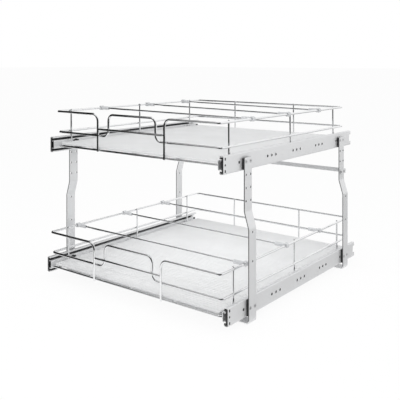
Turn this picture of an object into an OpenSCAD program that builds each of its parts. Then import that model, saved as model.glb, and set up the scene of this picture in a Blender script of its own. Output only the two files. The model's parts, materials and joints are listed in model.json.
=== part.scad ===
// Two-tier pull-out cabinet organizer, in millimetres.
// The front of the drawers faces -Y, +Z is up and the straps stand on the cabinet floor at z = 0.
// Depths are measured from the front ends of the slides, and centred() moves them to the frame.

/* [Frame] */
// Width over the lower uprights
overall_width = 527; // [500:1:560]
// Width of the flat steel strap
strap_width = 25.4; // [22:0.2:32]
// Thickness of the flat steel strap
strap_thickness = 2.5; // [2:0.25:4]
// Inside radius where the strap turns up from the floor
strap_bend = 3; // [2:0.5:8]
// Depth of the centre of the front strap
front_strap_y = 74; // [60:1:120]
// Distance from the centre of the rear strap to the rear ends of the slides
rear_strap_back = 64; // [50:1:110]
// How far each upright steps in above the lower tier
jog_depth = 10; // [6:0.5:16]
// Slope of the step, away from upright
jog_angle = 17; // [15:1:30]
// Bend radius of the step at the middle of the strap
jog_radius = 15; // [8:1:20]
// Height where the step starts
jog_start_z = 179; // [150:1:185]
// Strap left above the top row of holes
upright_margin = 8; // [7:0.5:10]
// Distance between the rows of height holes
hole_pitch = 25.4; // [25.4:0.1:26.4]
// Rows of height holes between the two tiers
tier_rows = 11; // [11:1:12]
// Rows of spare height holes under the upper slides
spare_rows = 3; // [2:1:3]
// Distance between the two holes of a row
hole_pair = 16; // [14:0.5:16.5]
// Bore of the height holes
hole_bore = 4.5; // [4.2:0.1:5]
// Bore of the floor screw holes
floor_bore = 5.5; // [4.5:0.1:6.5]
// Distance between the floor screw holes of one strap
floor_hole_span = 400; // [300:5:450]
// Bore of the side screw holes in the uprights
side_bore = 4; // [3.5:0.1:5]
// Height of the lower side screw hole
side_hole_z = 118.5; // [110:0.5:125]
// Distance between the two side screw holes of an upright
side_hole_pitch = 56; // [50:0.5:57]
// Height of the rear cross bar
rear_bar_height = 10; // [8:0.5:14]
// Thickness of the rear cross bar
rear_bar_thickness = 2.5; // [2:0.25:3]
// Room between the rear uprights and the cross bar
rear_bar_gap = 6; // [5:0.5:12]
// Inside bend radius of the cross bar
rear_bar_bend = 2.5; // [2:0.5:4]

/* [Slides] */
// Length of the outer slide member
slide_length = 550; // [520:5:600]
// Height of the slide
slide_height = 35; // [35:0.5:38]
// Depth of the closed slide
slide_depth = 12.7; // [12.7:0.1:13.5]
// Height of the lower slides above the floor
lower_slide_z = 13; // [10:0.5:20]
// Sheet of the outer and inner members
slide_sheet = 1.2; // [1:0.05:1.3]
// Sheet of the middle member's web
middle_sheet = 1.1; // [0.9:0.05:1.2]
// Outside radius of the outer member's edges
slide_corner = 2; // [1.5:0.1:2.5]
// Diameter of the balls
ball_d = 3; // [2.8:0.1:3.1]
// Balls in each row
ball_count = 8; // [4:1:8]
// Distance between the balls of a row
ball_pitch = 24; // [20:1:25]
// Length of the ball cages
cage_length = 200; // [190:5:210]
// Depth where the ball cages start
cage_start = 165; // [150:1:180]
// Bore of the slide's own mounting holes
slide_bore = 4.8; // [4:0.1:5.5]
// Black spacer between a slide and an upright
pad_thickness = 4; // [3:0.5:6]

/* [Baskets] */
// Diameter of the rail wire
rail_d = 5; // [4.5:0.1:5.5]
// Diameter of the side and rear posts
post_d = 4; // [3.5:0.1:5]
// Diameter of the floor cross wires
floor_wire_d = 3; // [2.5:0.1:3.5]
// Depth of the front posts of the lower basket
basket_front_y = -3; // [-6:0.5:0]
// Distance from the rear rails of the lower basket to the rear ends of the slides
basket_rear_back = 3; // [3:0.5:15]
// How much shorter the upper basket is at each end
basket_inset = 10.5; // [8:0.5:14]
// Height of the rim wire above the foot of the slide
rim_rise = 15.2; // [14.5:0.1:16]
// Height of the mid rail above the foot of the slide
mid_rise = 47; // [44:0.5:52]
// Height of the front crossbar above the foot of the slide
crossbar_rise = 62; // [58:0.5:66]
// Height of the top rail above the foot of the slide
top_rise = 94.5; // [88:0.5:110]
// Bend radius of the rails at the basket's corners
corner_bend = 8; // [6:0.5:14]
// Distance of the front posts from the middle
front_post_x = 96; // [92:1:110]
// Bend radius where the top rail turns down into a front post
post_bend = 16; // [10:0.5:22]
// Distance of the handle's legs from the middle
handle_leg_x = 68; // [55:1:72]
// Bend radius of the handle's upper corners
handle_bend = 13; // [8:0.5:20]
// Bend radius of the handle's feet
handle_foot = 15; // [8:0.5:18]
// Distance of the lower basket's rear posts from the middle
rear_post_x = 104; // [80:1:140]
// Distance from the first and last floor cross wires to the ends of the slides
floor_wire_margin = 27; // [25:0.5:40]
// Floor cross wires in each basket
floor_wire_count = 21; // [17:2:21]
// Distance between the long floor wires
long_wire_pitch = 120; // [90:5:130]
// Thickness of the floor liner under its ribs
liner_thickness = 1.6; // [1:0.1:3]
// Height of the liner's ribs
liner_rib = 0.6; // [0.3:0.1:1]
// Distance between the liner's ribs
liner_rib_pitch = 8; // [6:0.5:12]
// Length of a mounting tab
tab_length = 18; // [12:1:19]
// Thickness of a mounting tab
tab_thickness = 1.5; // [1:0.1:1.8]

/* [Dividers] */
// Diameter of the divider rods
rod_d = 4; // [3:0.1:5]
// Outside diameter of the clip's hook
clip_hook_d = 11; // [10:0.5:13]
// Length of the clip's hook along the rail
clip_hook_length = 9; // [7:0.5:11]
// Length of the clip from the rail inwards
clip_reach = 27; // [22:0.5:32]
// Outside diameter of the clip's sleeve
clip_sleeve_d = 8.4; // [7.4:0.1:10]
// Depth of the lower basket's front divider
lower_front_divider_y = 80; // [56:1:150]
// Depth of the lower basket's middle divider
lower_middle_divider_y = 238; // [170:1:268]
// Distance from the lower basket's rear divider to the rear ends of the slides
lower_rear_divider_back = 161; // [80:1:250]
// Depth of the upper basket's front divider at the left
upper_front_divider_left_y = 148; // [130:1:170]
// Depth of the upper basket's front divider at the right
upper_front_divider_right_y = 121; // [100:1:140]
// Depth of the upper basket's middle divider at the left
upper_middle_divider_left_y = 316; // [300:1:330]
// Depth of the upper basket's middle divider at the right
upper_middle_divider_right_y = 264; // [240:1:268]
// Distance from the upper basket's rear divider at the left to the rear ends of the slides
upper_rear_divider_left_back = 82; // [72:1:110]
// Distance from the upper basket's rear divider at the right to the rear ends of the slides
upper_rear_divider_right_back = 144; // [120:1:170]

/* [Hidden] */
$fn = 48;
// Overrun of every cut past the faces it goes through
over = 1;
// Gap between wires that are welded where they cross
weld_gap = 0.05;
lower = 0;
upper = 1;
left = -1;
right = 1;
// Middle of the whole organizer, from the front of the lower basket to the rear ends of the slides
centre_y = (slide_length + basket_front_y - rail_d / 2) / 2;
rear_strap_y = slide_length - rear_strap_back;
basket_rear_y = slide_length - basket_rear_back;
floor_wire_pitch = (slide_length - 2 * floor_wire_margin) / (floor_wire_count - 1);
// Height of the lowest row of holes, which carries the lower slides
first_row_z = lower_slide_z + slide_height / 2;
top_row_z = first_row_z + tier_rows * hole_pitch;

// Places that follow the tier
function face_x(tier) = overall_width / 2 - strap_thickness - pad_thickness - tier * jog_depth;
function slide_z(tier) = lower_slide_z + tier * tier_rows * hole_pitch;
function slide_mid_z(tier) = slide_z(tier) + slide_height / 2;
function rail_x(tier) = face_x(tier) - slide_depth - rail_d / 2;
function post_x(tier) = rail_x(tier) - rail_d / 2 - post_d / 2 - weld_gap;
function front_y(tier) = basket_front_y + tier * basket_inset;
function inner_front_y(tier) = front_y(tier) + rail_d + weld_gap;
function rear_y(tier) = basket_rear_y - tier * basket_inset;
function rim_z(tier) = slide_z(tier) + rim_rise;
function mid_z(tier) = slide_z(tier) + mid_rise;
function top_z(tier) = slide_z(tier) + top_rise;
function floor_wire_z(tier) = rim_z(tier) + rail_d / 2 + floor_wire_d / 2 + weld_gap;
function floor_wire_y(index) =
    slide_length / 2 + (index - (floor_wire_count - 1) / 2) * floor_wire_pitch;
function strap_face_x(tier) = face_x(tier) + pad_thickness + strap_thickness;

// Room between a post and the floor wire beside it
post_wire_gap = 2.5;
post_offset = floor_wire_d / 2 + post_wire_gap + post_d / 2;
middle_wire = (floor_wire_count - 1) / 2;
side_post_y = [
    floor_wire_y(1) - post_offset,
    floor_wire_y(middle_wire) + post_offset,
    floor_wire_y(floor_wire_count - 2) - post_offset
];
// How far a side post stands above the axis of the top rail
post_tip = 3.5;

module centred() {
    translate([0, -centre_y, 0]) children();
}

module on_side(side) {
    mirror([side < 0 ? 1 : 0, 0, 0]) children();
}

// Straight round bars along one axis
module bar_x(x0, x1, y, z, d) {
    translate([x0, y, z]) rotate([0, 90, 0]) cylinder(h = x1 - x0, d = d);
}

module bar_y(y0, y1, x, z, d) {
    translate([x, y1, z]) rotate([90, 0, 0]) cylinder(h = y1 - y0, d = d);
}

module bar_z(z0, z1, x, y, d) {
    translate([x, y, z0]) cylinder(h = z1 - z0, d = d);
}

// Quarter bends of wire, from the angle start to start + 90, seen from above or from the front
module flat_bend(x, y, z, r, d, start) {
    translate([x, y, z]) rotate([0, 0, start]) rotate_extrude(angle = 90) translate([r, 0]) circle(d = d);
}

module upright_bend(x, y, z, r, d, start) {
    translate([x, y, z]) rotate([90, 0, 0]) rotate([0, 0, start])
        rotate_extrude(angle = 90) translate([r, 0]) circle(d = d);
}

// Quarter of a flat ring, used by the bent strap and the rolled slides
module quarter_ring(r_in, r_out, start) {
    intersection() {
        difference() {
            circle(r = r_out);
            circle(r = r_in);
        }
        rotate(start) square(r_out);
    }
}

// Uprights: a straight leg, a step of two bends with a slope between them, and a straight top
strap_out = strap_bend + strap_thickness;
leg_x = overall_width / 2 - strap_thickness / 2;
jog_arc_x = jog_radius * (1 - cos(jog_angle));
jog_arc_z = jog_radius * sin(jog_angle);
jog_slope = (jog_depth - 2 * jog_arc_x) / sin(jog_angle);
jog_end_z = jog_start_z + 2 * jog_arc_z + jog_slope * cos(jog_angle);
upright_top_z = top_row_z + upright_margin;
// Chords in each bend of the step
bend_steps = 6;

// One face of an upright, at the given distance outside its middle
function upright_face(shift) = concat(
    [[leg_x + shift, strap_out]],
    [for (step = [0 : bend_steps])
        let (a = jog_angle * step / bend_steps, r = jog_radius + shift)
        [leg_x - jog_radius + r * cos(a), jog_start_z + r * sin(a)]],
    [for (step = [bend_steps : -1 : 0])
        let (a = jog_angle * step / bend_steps, r = jog_radius - shift)
        [leg_x - jog_depth + jog_radius - r * cos(a), jog_end_z - r * sin(a)]],
    [[leg_x - jog_depth + shift, upright_top_z]]
);

function backwards(points) = [for (i = [len(points) - 1 : -1 : 0]) points[i]];

module strap_half() {
    square([overall_width / 2 - strap_out, strap_thickness]);
    translate([overall_width / 2 - strap_out, strap_out]) quarter_ring(strap_bend, strap_out, -90);
    polygon(concat(upright_face(strap_thickness / 2), backwards(upright_face(-strap_thickness / 2))));
}

module row_holes(y, z, bore) {
    for (side = [-1, 1])
        translate([0, y + side * hole_pair / 2, z]) rotate([0, 90, 0])
            cylinder(h = overall_width + 2 * over, d = bore, center = true);
}

// Countersunk screw along -X, with the flat face of its head at x = 0 and a hexagon socket
screw_shank_d = 4;
screw_head_d = 7.6;
screw_head_height = (screw_head_d - screw_shank_d) / 2;
screw_socket = 2.5;
screw_socket_depth = 1.2;
screw_fit = 0.1;

module screw_cone(fit) {
    cylinder(h = screw_head_height, d1 = screw_shank_d + 2 * fit, d2 = screw_head_d + 2 * fit);
}

module frame_screw(grip) {
    rotate([0, 90, 0]) difference() {
        union() {
            translate([0, 0, -grip]) cylinder(h = grip, d = screw_shank_d);
            translate([0, 0, -screw_head_height]) screw_cone(0);
        }
        translate([0, 0, -screw_socket_depth])
            cylinder(h = screw_socket_depth + over, d = screw_socket / cos(30), $fn = 6);
    }
}

// Countersinks for a pair of screws in the faces at x and -x
module countersinks(x, y, z) {
    for (side = [left, right], place = [-1, 1])
        on_side(side) translate([x, y + place * hole_pair / 2, z]) rotate([0, 90, 0]) {
            translate([0, 0, -screw_head_height]) screw_cone(screw_fit);
            cylinder(h = over, d = screw_head_d + 2 * screw_fit);
        }
}

module frame_strap(y) {
    color("silver") centred() difference() {
        translate([0, y + strap_width / 2, 0]) rotate([90, 0, 0]) linear_extrude(height = strap_width) {
            strap_half();
            mirror([1, 0]) strap_half();
        }
        row_holes(y, first_row_z, hole_bore);
        for (row = [0 : spare_rows])
            row_holes(y, top_row_z - row * hole_pitch, hole_bore);
        for (tier = [lower, upper])
            countersinks(strap_face_x(tier), y, slide_mid_z(tier));
        for (hole = [0, 1])
            translate([0, y, side_hole_z + hole * side_hole_pitch]) rotate([0, 90, 0])
                cylinder(h = overall_width + 2 * over, d = side_bore, center = true);
        for (side = [-1, 1])
            translate([side * floor_hole_span / 2, y, -over])
                cylinder(h = strap_thickness + 2 * over, d = floor_bore);
    }
}

module front_frame_strap() {
    frame_strap(front_strap_y);
}

module rear_frame_strap() {
    frame_strap(rear_strap_y);
}

// The rear bar stands on edge behind the uprights, and its ends turn forward along their outer faces
bar_face_x = strap_face_x(upper);
bar_out = rear_bar_bend + rear_bar_thickness;
bar_inner_y = rear_strap_y + strap_width / 2 + rear_bar_gap;
bar_row_z = top_row_z - spare_rows * hole_pitch;
bar_tab_y = rear_strap_y - strap_width / 2 + rear_bar_thickness;

module rear_bar_half() {
    translate([0, bar_inner_y]) square([bar_face_x - rear_bar_bend, rear_bar_thickness]);
    translate([bar_face_x - rear_bar_bend, bar_inner_y - rear_bar_bend])
        quarter_ring(rear_bar_bend, bar_out, 0);
    translate([bar_face_x, bar_tab_y])
        square([rear_bar_thickness, bar_inner_y - rear_bar_bend - bar_tab_y]);
}

module rear_cross_bar() {
    color("silver") centred() difference() {
        translate([0, 0, bar_row_z - rear_bar_height / 2]) linear_extrude(height = rear_bar_height) {
            rear_bar_half();
            mirror([1, 0]) rear_bar_half();
        }
        row_holes(rear_strap_y, bar_row_z, hole_bore);
        countersinks(bar_face_x + rear_bar_thickness, rear_strap_y, bar_row_z);
    }
}

// Black spacers that keep the slides clear of the uprights, short of the edges of what they lie against
pad_inset = 1.75;

module spacer_pads() {
    color("black") centred()
        for (tier = [lower, upper], side = [left, right], y = [front_strap_y, rear_strap_y])
            on_side(side) difference() {
                translate([face_x(tier), y - strap_width / 2, slide_z(tier) + pad_inset]) cube([
                    pad_thickness,
                    strap_width,
                    min(slide_height, upright_top_z - slide_z(tier)) - 2 * pad_inset
                ]);
                row_holes(y, slide_mid_z(tier), hole_bore);
            }
}

// Screws through the uprights and spacers into the slides, and those of the rear bar
module frame_screws() {
    color("gray") centred() for (side = [left, right], place = [-1, 1])
        on_side(side) translate([0, place * hole_pair / 2, 0]) {
            for (tier = [lower, upper], y = [front_strap_y, rear_strap_y])
                translate([strap_face_x(tier), y, slide_mid_z(tier)])
                    frame_screw(strap_thickness + pad_thickness + slide_sheet);
            translate([bar_face_x + rear_bar_thickness, rear_strap_y, bar_row_z])
                frame_screw(rear_bar_thickness + strap_thickness);
        }
}

// Sections of the three-member ball-bearing slide.
// x runs from the outer face of the slide towards the basket and y is measured from its middle.
// The outer balls run between the outer and middle members, the inner balls between middle and inner.
ball_fit = 0.15;
race_r = ball_d / 2 + ball_fit;
// How far a groove's edge stands below the centre of its balls
race_edge = 0.65;
outer_ball_u = 6.4;
outer_ball_w = slide_height / 2 - slide_sheet - race_r;
inner_ball_u = 6.9;
middle_web_u = 2.4;
middle_end_u = 9;
// The middle member's flange is the only sheet between the two rows of balls
inner_ball_w = outer_ball_w - 2 * race_r - middle_sheet;
inner_top_w = inner_ball_w - race_edge;
// Inside radius where the webs of the middle and inner members turn into their flanges
middle_bend = 0.5;
inner_bend = 0.8;
// How far the grooves of the middle and inner members reach round their balls, to each side
middle_groove_angle = 42;
inner_groove_angle = 50;
// The ball cages are thin strips with their webs between those of the members
cage_sheet = 0.6;
cage_web = 0.5;
cage_fit = 0.35;
outer_cage_end_u = 7.3;
inner_cage_end_u = 8.2;
// How far the middle and inner members stay from the front and from the closing bumper
middle_start = 2;
bumper_depth = 8;
bumper_setback = 10;
bumper_gap = 1;
bumper_half = 6.5;
bumper_end_u = 12.2;
bumper_fork_u = 5;
bumper_fork_half = 1.5;
// A clip of black plastic closes the front of the middle member, with a cheek on each side of its web
clip_start = 0.5;
clip_end = 9;
clip_lip_end = 3.5;
clip_fit = 0.1;
clip_outer_u = 1.5;
clip_inner_u = 4.5;
clip_half = 10.5;
// How far the front of the clip stands out past the sheet of the middle member, and its depth
clip_brim = 0.35;
clip_depth = 1.2;
bumper_y = slide_length - bumper_setback - bumper_depth;
rear_notch = 8;
rear_notch_half = 8.5;
// Two small windows and a bore in the front of the outer member, and the rows of mounting holes
window_y = 6;
window_width = 3.6;
window_height = 5;
window_w = 11.5;
window_bore = 4;
single_hole_y = 52;
last_hole_back = 82;
group_pitch = 104;
group_hole_pitch = 16;
groups = 3;

module both_edges() {
    children();
    mirror([0, 1]) children();
}

module outer_section() {
    translate([0, slide_corner - slide_height / 2]) square([slide_sheet, slide_height - 2 * slide_corner]);
    both_edges() {
        translate([slide_corner, slide_height / 2 - slide_corner])
            quarter_ring(slide_corner - slide_sheet, slide_corner, 90);
        translate([slide_corner, slide_height / 2 - slide_sheet])
            square([outer_ball_u - slide_corner, slide_sheet]);
        translate([outer_ball_u, outer_ball_w]) quarter_ring(race_r, race_r + slide_sheet, 0);
    }
}

// Sheet rolled along a path of points down the middle of its thickness
function arc_path(centre, r, start, end) = [for (step = [0 : bend_steps])
    let (a = start + (end - start) * step / bend_steps) centre + r * [cos(a), sin(a)]];

function both_halves(half) = concat([for (point = backwards(half)) [point[0], -point[1]]], half);

function sheet_face(path, shift) = [for (i = [0 : len(path) - 1])
    let (way = path[min(i + 1, len(path) - 1)] - path[max(i - 1, 0)])
    path[i] + shift * [way[1], -way[0]] / norm(way)];

module rolled_sheet(path, sheet) {
    polygon(concat(sheet_face(path, sheet / 2), backwards(sheet_face(path, -sheet / 2))));
}

// The upper half of the middle member, from its web over the outer balls' groove to its free edge
function middle_path() =
    let (
        web = middle_web_u + middle_sheet / 2,
        crown = outer_ball_w - race_edge - middle_sheet / 2,
        bend = middle_bend + middle_sheet / 2
    )
    concat(
        arc_path([web + bend, crown - bend], bend, 180, 90),
        arc_path([outer_ball_u, outer_ball_w], race_r + middle_sheet / 2,
            -90 - middle_groove_angle, -90 + middle_groove_angle),
        [[middle_end_u, crown]]
    );

// The upper half of the inner member, from its web over its flange and round the inner balls
function inner_path() =
    let (
        web = slide_depth - slide_sheet / 2,
        flange = inner_top_w - slide_sheet / 2,
        bend = inner_bend + slide_sheet / 2,
        groove = race_r + slide_sheet / 2,
        dip = asin((inner_ball_w - flange) / groove)
    )
    concat(
        arc_path([web - bend, flange - bend], bend, 0, 90),
        arc_path([inner_ball_u, inner_ball_w], groove, -dip, -90 - inner_groove_angle)
    );

module middle_section() {
    rolled_sheet(both_halves(middle_path()), middle_sheet);
}

module inner_section() {
    rolled_sheet(both_halves(inner_path()), slide_sheet);
}

module cage_section(web_u, end_u, ball_w) {
    half = ball_w + cage_sheet / 2;
    translate([web_u, -half]) square([cage_web, 2 * half]);
    both_edges() translate([web_u, ball_w - cage_sheet / 2]) square([end_u - web_u, cage_sheet]);
}

// Puts a section along a slide from start to start + length
module along_slide(tier, side, start, length) {
    centred() on_side(side) translate([face_x(tier), start + length, slide_mid_z(tier)])
        rotate([90, 0, 0]) mirror([1, 0, 0]) linear_extrude(height = length) children();
}

module slide_hole(tier, y, bore) {
    translate([face_x(tier) - middle_web_u, y, slide_mid_z(tier)]) rotate([0, 90, 0])
        cylinder(h = middle_web_u + over, d = bore);
}

module window(tier, y, length, rise, height) {
    translate([face_x(tier) - slide_corner + over / 2, y, slide_mid_z(tier) + rise - height / 2])
        cube([slide_corner + over, length, height]);
}

module outer_rail(tier, side) {
    group_start = slide_length / 2 - group_pitch * (groups - 1) / 2;
    color("lightgray") difference() {
        along_slide(tier, side, 0, slide_length) outer_section();
        centred() on_side(side) {
            slide_hole(tier, single_hole_y, slide_bore);
            slide_hole(tier, slide_length - last_hole_back, slide_bore);
            for (group = [0 : groups - 1], place = [-1 : 1])
                slide_hole(tier, group_start + group * group_pitch + place * group_hole_pitch, slide_bore);
            for (y = [front_strap_y, rear_strap_y], place = [-1, 1])
                slide_hole(tier, y + place * hole_pair / 2, hole_bore);
            for (rise = [-window_w, window_w])
                window(tier, window_y - window_width / 2, window_width, rise, window_height);
            slide_hole(tier, window_y, window_bore);
            window(tier, slide_length - rear_notch, rear_notch + over, 0, 2 * rear_notch_half);
        }
    }
}

module middle_rail(tier, side) {
    color("dimgray") along_slide(tier, side, middle_start, bumper_y - bumper_gap - middle_start)
        middle_section();
}

module inner_rail(tier, side) {
    color("lightgray") difference() {
        along_slide(tier, side, 0, bumper_y - bumper_gap) inner_section();
        centred() on_side(side) for (y = tab_y)
            translate([face_x(tier) - slide_depth - over, y, tab_screw_z(tier)]) rotate([0, 90, 0])
                cylinder(h = slide_sheet + 2 * over, d = tab_screw_bore);
    }
}

function ball_y(index) = cage_start + cage_length / 2 + (index - (ball_count - 1) / 2) * ball_pitch;

module ball_rows(tier, side, ball_u, ball_w) {
    centred() on_side(side) for (index = [0 : ball_count - 1], edge = [-1, 1])
        translate([face_x(tier) - ball_u, ball_y(index), slide_mid_z(tier) + edge * ball_w]) children();
}

module cage(tier, side, web_u, end_u, ball_u, ball_w) {
    difference() {
        along_slide(tier, side, cage_start, cage_length) cage_section(web_u, end_u, ball_w);
        ball_rows(tier, side, ball_u, ball_w)
            cylinder(h = 2 * cage_sheet, d = ball_d + 2 * ball_fit, center = true);
    }
}

module outer_cages(tier) {
    color("silver") for (side = [left, right])
        cage(tier, side, slide_sheet + cage_fit, outer_cage_end_u, outer_ball_u, outer_ball_w);
}

module inner_cages(tier) {
    web_u = middle_web_u + middle_sheet + cage_fit;
    color("silver") for (side = [left, right])
        cage(tier, side, web_u, inner_cage_end_u, inner_ball_u, inner_ball_w);
}

module outer_balls(tier) {
    color("gainsboro") for (side = [left, right])
        ball_rows(tier, side, outer_ball_u, outer_ball_w) sphere(d = ball_d);
}

module inner_balls(tier) {
    color("gainsboro") for (side = [left, right])
        ball_rows(tier, side, inner_ball_u, inner_ball_w) sphere(d = ball_d);
}

// Forked rubber blocks that stop the drawers, on the rear of the outer members
module closing_bumpers() {
    color("black") for (tier = [lower, upper], side = [left, right])
        along_slide(tier, side, bumper_y, bumper_depth) difference() {
            translate([slide_sheet, -bumper_half]) square([bumper_end_u - slide_sheet, 2 * bumper_half]);
            translate([bumper_fork_u, -bumper_fork_half])
                square([bumper_end_u - bumper_fork_u + over, 2 * bumper_fork_half]);
        }
}

// Front of the clip: a slab over the web and a grooved cap over each flange of the middle member
module clip_face() {
    start = middle_web_u - clip_brim;
    foot = outer_ball_w - race_r - middle_sheet - clip_brim;
    top = outer_ball_w - race_edge + clip_brim;
    translate([clip_outer_u, -clip_half]) square([clip_inner_u - clip_outer_u, 2 * clip_half]);
    translate([start, -foot - clip_brim]) square([middle_sheet + 2 * clip_brim, 2 * (foot + clip_brim)]);
    both_edges() difference() {
        translate([start, foot]) square([middle_end_u - start, top - foot]);
        translate([outer_ball_u, outer_ball_w]) circle(r = race_r - clip_brim);
    }
}

module front_bumpers(tier) {
    cut_half = clip_half + over;
    color("black") for (side = [left, right]) difference() {
        union() {
            along_slide(tier, side, clip_start, clip_depth) clip_face();
            along_slide(tier, side, clip_start, clip_end - clip_start)
                translate([clip_outer_u, -clip_half]) square([clip_inner_u - clip_outer_u, 2 * clip_half]);
        }
        along_slide(tier, side, middle_start - clip_fit, clip_end)
            translate([middle_web_u - clip_fit, -cut_half]) square([middle_sheet + 2 * clip_fit, 2 * cut_half]);
        along_slide(tier, side, clip_lip_end, clip_end)
            translate([middle_web_u, -cut_half]) square([clip_inner_u - middle_web_u + over, 2 * cut_half]);
    }
}

// Wire basket: rim, mid rail with the handle, top rail with the front posts, and the floor
module wire_corners(tier, y, z) {
    x = rail_x(tier) - corner_bend;
    flat_bend(x, rear_y(tier) - corner_bend, z, corner_bend, rail_d, 0);
    flat_bend(x, y + corner_bend, z, corner_bend, rail_d, -90);
    bar_y(y + corner_bend, rear_y(tier) - corner_bend, rail_x(tier), z, rail_d);
}

// Sides and rear of a rail whose front runs at depth y
module wire_sides(tier, y, z) {
    x = rail_x(tier) - corner_bend;
    for (side = [left, right])
        on_side(side) wire_corners(tier, y, z);
    bar_x(-x, x, rear_y(tier), z, rail_d);
}

module rim_wire(tier) {
    x = rail_x(tier) - corner_bend;
    color("white") centred() {
        wire_sides(tier, inner_front_y(tier), rim_z(tier));
        bar_x(-x, x, inner_front_y(tier), rim_z(tier), rail_d);
    }
}

module mid_rail(tier) {
    y = inner_front_y(tier);
    foot_x = handle_leg_x + handle_foot;
    arch_x = handle_leg_x - handle_bend;
    color("white") centred() {
        wire_sides(tier, y, mid_z(tier));
        for (side = [left, right])
            on_side(side) {
                bar_x(foot_x, rail_x(tier) - corner_bend, y, mid_z(tier), rail_d);
                upright_bend(foot_x, y, mid_z(tier) + handle_foot, handle_foot, rail_d, 180);
                bar_z(mid_z(tier) + handle_foot, top_z(tier) - handle_bend, handle_leg_x, y, rail_d);
                upright_bend(arch_x, y, top_z(tier) - handle_bend, handle_bend, rail_d, 0);
            }
        bar_x(-arch_x, arch_x, y, top_z(tier), rail_d);
    }
}

module top_rail(tier) {
    y = front_y(tier);
    bend_x = front_post_x + post_bend;
    color("white") centred() {
        wire_sides(tier, y, top_z(tier));
        for (side = [left, right])
            on_side(side) {
                bar_x(bend_x, rail_x(tier) - corner_bend, y, top_z(tier), rail_d);
                upright_bend(bend_x, y, top_z(tier) - post_bend, post_bend, rail_d, 90);
                bar_z(rim_z(tier) - rail_d / 2, top_z(tier) - post_bend, front_post_x, y, rail_d);
            }
    }
}

module front_crossbar(tier) {
    x = front_post_x - rail_d / 2 - weld_gap;
    color("white") centred() bar_x(-x, x, front_y(tier), slide_z(tier) + crossbar_rise, rail_d);
}

module basket_posts(tier) {
    foot = rim_z(tier) - rail_d / 2;
    y = rear_y(tier) - rail_d / 2 - post_d / 2 - weld_gap;
    color("white") centred() for (side = [left, right])
        on_side(side) {
            for (depth = side_post_y)
                bar_z(foot, top_z(tier) + post_tip, post_x(tier), depth, post_d);
            bar_z(foot, top_z(tier) + post_tip, rear_post_x - tier * jog_depth, y, post_d);
        }
}

module floor_cross_wires(tier) {
    x = rail_x(tier);
    color("white") centred() for (index = [0 : floor_wire_count - 1])
        bar_x(-x, x, floor_wire_y(index), floor_wire_z(tier), floor_wire_d);
}

module floor_long_wires(tier) {
    start = inner_front_y(tier) + rail_d / 2 + weld_gap;
    end = rear_y(tier) - rail_d / 2 - weld_gap;
    color("white") centred() for (place = [-1 : 1])
        bar_y(start, end, place * long_wire_pitch, rim_z(tier), rail_d);
}

// Ribbed plastic sheet that lies on the floor wires between the posts
liner_fit = 1;
rib_width = 1.5;

module floor_liner(tier) {
    x = post_x(tier) - post_d / 2 - liner_fit;
    start = inner_front_y(tier) + rail_d / 2;
    end = rear_y(tier) - rail_d / 2 - post_d - liner_fit;
    foot = floor_wire_z(tier) + floor_wire_d / 2 + weld_gap;
    ribs = floor((end - start - rib_width) / liner_rib_pitch);
    rib_start = (start + end - ribs * liner_rib_pitch) / 2;
    color("lightgray") centred() {
        translate([-x, start, foot]) cube([2 * x, end - start, liner_thickness]);
        for (rib = [0 : ribs])
            translate([-x, rib_start + rib * liner_rib_pitch - rib_width / 2, foot + liner_thickness])
                cube([2 * x, rib_width, liner_rib]);
    }
}

// Small steel tabs on the rim wire, each screwed to the inner member of the slide
tab_screw_d = 3.5;
tab_screw_bore = 3.8;
tab_screw_rise = 5;
tab_head_d = 6.4;
tab_head_height = 1.5;
tab_corner = 3;
tab_y = [
    floor_wire_y(2) - floor_wire_pitch / 2,
    floor_wire_y(middle_wire) - floor_wire_pitch / 2,
    floor_wire_y(floor_wire_count - 3) + floor_wire_pitch / 2
];
// The inner edge of a tab rests on the round top of the rim wire
tab_seat = sqrt(pow(rail_d / 2, 2) - pow(rail_d / 2 - tab_thickness, 2)) + weld_gap;
tab_height = slide_height / 2 + inner_top_w - rim_rise - tab_seat;
function tab_x(tier) = face_x(tier) - slide_depth - tab_thickness;
function tab_screw_z(tier) = slide_mid_z(tier) + tab_screw_rise;

module tab_outline() {
    translate([-tab_length / 2, 0]) square([tab_length, tab_height - tab_corner]);
    translate([tab_corner - tab_length / 2, 0]) square([tab_length - 2 * tab_corner, tab_height]);
    for (side = [-1, 1])
        translate([side * (tab_length / 2 - tab_corner), tab_height - tab_corner]) circle(r = tab_corner);
}

module slide_tabs(tier) {
    color("silver") centred() for (side = [left, right], y = tab_y)
        on_side(side) difference() {
            translate([tab_x(tier), y, rim_z(tier) + tab_seat]) rotate([90, 0, 90])
                linear_extrude(height = tab_thickness) tab_outline();
            translate([tab_x(tier) - over, y, tab_screw_z(tier)]) rotate([0, 90, 0])
                cylinder(h = tab_thickness + 2 * over, d = tab_screw_bore);
        }
}

module tab_screws(tier) {
    dome_r = (pow(tab_head_d / 2, 2) + pow(tab_head_height, 2)) / (2 * tab_head_height);
    color("gray") centred() for (side = [left, right], y = tab_y)
        on_side(side) translate([tab_x(tier), y, tab_screw_z(tier)]) rotate([0, 90, 0]) {
            cylinder(h = tab_thickness + slide_sheet, d = tab_screw_d);
            intersection() {
                translate([0, 0, -tab_head_height]) cylinder(h = tab_head_height, d = tab_head_d);
                translate([0, 0, dome_r - tab_head_height]) sphere(r = dome_r);
            }
        }
}

// Dividers: a rod across the basket with a plastic clip on the top rail at each end
rail_fit = 0.3;
rod_fit = 0.2;
rod_end_gap = 2;
hook_mouth = 4;
lower_rear_divider_y = slide_length - lower_rear_divider_back;
lower_divider_y = [for (y = [lower_front_divider_y, lower_middle_divider_y, lower_rear_divider_y]) [y, y]];
upper_divider_y = [
    [upper_front_divider_left_y, upper_front_divider_right_y],
    [upper_middle_divider_left_y, upper_middle_divider_right_y],
    [slide_length - upper_rear_divider_left_back, slide_length - upper_rear_divider_right_back]
];

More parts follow.
